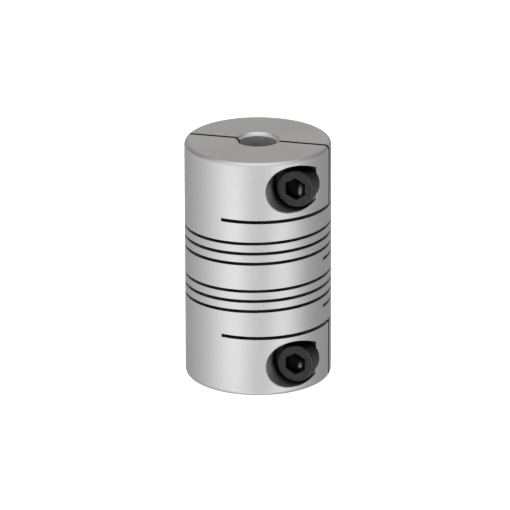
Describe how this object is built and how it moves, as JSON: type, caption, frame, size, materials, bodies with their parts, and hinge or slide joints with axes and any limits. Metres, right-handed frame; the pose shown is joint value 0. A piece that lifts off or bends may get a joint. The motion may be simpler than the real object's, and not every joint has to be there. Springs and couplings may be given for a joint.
{
  "type": "beam coupling",
  "caption": "Flexible shaft coupling of one aluminium bar: helical slots between two split clamp hubs, each closed by a socket cap screw.",
  "frame": {"origin": "the coupling's centre, on the shaft axis and halfway between the end faces", "axes": "+Z along the shaft axis, +X towards the clamp screws, and -Y towards the side that the screws' heads face"},
  "size_m": [0.0382, 0.0382, 0.064],
  "materials": {
    "machined_aluminium": "satin",
    "black_oxide_steel": "satin"
  },
  "bodies": {
    "lower_hub": {"lower_hub": "machined_aluminium", "lower_beam_1": "machined_aluminium"},
    "lower_beam_a": {"lower_beam_2": "machined_aluminium"},
    "lower_beam_b": {"lower_beam_3": "machined_aluminium"},
    "lower_beam_c": {"lower_beam_4": "machined_aluminium"},
    "middle_ring": {"middle_ring": "machined_aluminium", "upper_beam_1": "machined_aluminium"},
    "upper_beam_a": {"upper_beam_2": "machined_aluminium"},
    "upper_beam_b": {"upper_beam_3": "machined_aluminium"},
    "upper_beam_c": {"upper_beam_4": "machined_aluminium"},
    "upper_hub": {"upper_hub": "machined_aluminium"},
    "lower_front_jaw": {"lower_front_jaw": "machined_aluminium"},
    "lower_rear_jaw": {"lower_rear_jaw": "machined_aluminium"},
    "lower_clamp_screw": {"lower_clamp_screw": "black_oxide_steel"},
    "upper_front_jaw": {"upper_front_jaw": "machined_aluminium"},
    "upper_rear_jaw": {"upper_rear_jaw": "machined_aluminium"},
    "upper_clamp_screw": {"upper_clamp_screw": "black_oxide_steel"}
  },
  "joints": [
    {"name": "lower_bend_x", "type": "hinge", "parent": "lower_hub", "child": "lower_beam_a", "pos_m": [0, 0, -0.00651], "axis": [1, 0, 0], "range_deg": [-1.5, 1.5], "stiffness_Nm_per_rad": 2.8, "deforming": ["lower_beam_1"]},
    {"name": "lower_bend_y", "type": "hinge", "parent": "lower_beam_a", "child": "lower_beam_b", "pos_m": [0, 0, -0.00651], "axis": [0, 1, 0], "range_deg": [-1.5, 1.5], "stiffness_Nm_per_rad": 2.8, "deforming": ["lower_beam_2"]},
    {"name": "lower_wind_up", "type": "hinge", "parent": "lower_beam_b", "child": "lower_beam_c", "pos_m": [0, 0, -0.00651], "axis": [0, 0, 1], "range_deg": [-1, 1], "stiffness_Nm_per_rad": 65, "deforming": ["lower_beam_3"]},
    {"name": "lower_axial", "type": "slide", "parent": "lower_beam_c", "child": "middle_ring", "axis": [0, 0, 1], "range_m": [-0.00013, 0.00013], "stiffness_N_per_m": 16700, "deforming": ["lower_beam_4"]},
    {"name": "upper_bend_x", "type": "hinge", "parent": "middle_ring", "child": "upper_beam_a", "pos_m": [0, 0, 0.00651], "axis": [1, 0, 0], "range_deg": [-1.5, 1.5], "stiffness_Nm_per_rad": 2.8, "deforming": ["upper_beam_1"]},
    {"name": "upper_bend_y", "type": "hinge", "parent": "upper_beam_a", "child": "upper_beam_b", "pos_m": [0, 0, 0.00651], "axis": [0, 1, 0], "range_deg": [-1.5, 1.5], "stiffness_Nm_per_rad": 2.8, "deforming": ["upper_beam_2"]},
    {"name": "upper_wind_up", "type": "hinge", "parent": "upper_beam_b", "child": "upper_beam_c", "pos_m": [0, 0, 0.00651], "axis": [0, 0, 1], "range_deg": [-1, 1], "stiffness_Nm_per_rad": 65, "deforming": ["upper_beam_3"]},
    {"name": "upper_axial", "type": "slide", "parent": "upper_beam_c", "child": "upper_hub", "axis": [0, 0, 1], "range_m": [-0.00013, 0.00013], "stiffness_N_per_m": 16700, "deforming": ["upper_beam_4"]},
    {"name": "lower_front_jaw_close", "type": "hinge", "parent": "lower_hub", "child": "lower_front_jaw", "pos_m": [-0.012, -0.0075, -0.024], "axis": [0, 0, 1], "range_deg": [0, 0.3]},
    {"name": "lower_rear_jaw_close", "type": "hinge", "parent": "lower_hub", "child": "lower_rear_jaw", "pos_m": [-0.012, 0.0075, -0.024], "axis": [0, 0, -1], "range_deg": [0, 0.3]},
    {"name": "lower_screw_turn", "type": "hinge", "parent": "lower_front_jaw", "child": "lower_clamp_screw", "pos_m": [0.01345, -0.0073, -0.024], "axis": [0, 1, 0], "range_deg": [0, 90]},
    {"name": "upper_front_jaw_close", "type": "hinge", "parent": "upper_hub", "child": "upper_front_jaw", "pos_m": [-0.012, -0.0075, 0.024], "axis": [0, 0, 1], "range_deg": [0, 0.3]},
    {"name": "upper_rear_jaw_close", "type": "hinge", "parent": "upper_hub", "child": "upper_rear_jaw", "pos_m": [-0.012, 0.0075, 0.024], "axis": [0, 0, -1], "range_deg": [0, 0.3]},
    {"name": "upper_screw_turn", "type": "hinge", "parent": "upper_front_jaw", "child": "upper_clamp_screw", "pos_m": [0.01345, -0.0073, 0.024], "axis": [0, 1, 0], "range_deg": [0, 90]}
  ],
  "couplings": [
    {"joint": "lower_front_jaw_close", "follows": "lower_screw_turn", "ratio": 0.003333},
    {"joint": "lower_rear_jaw_close", "follows": "lower_screw_turn", "ratio": 0.003333},
    {"joint": "upper_front_jaw_close", "follows": "upper_screw_turn", "ratio": 0.003333},
    {"joint": "upper_rear_jaw_close", "follows": "upper_screw_turn", "ratio": 0.003333}
  ]
}
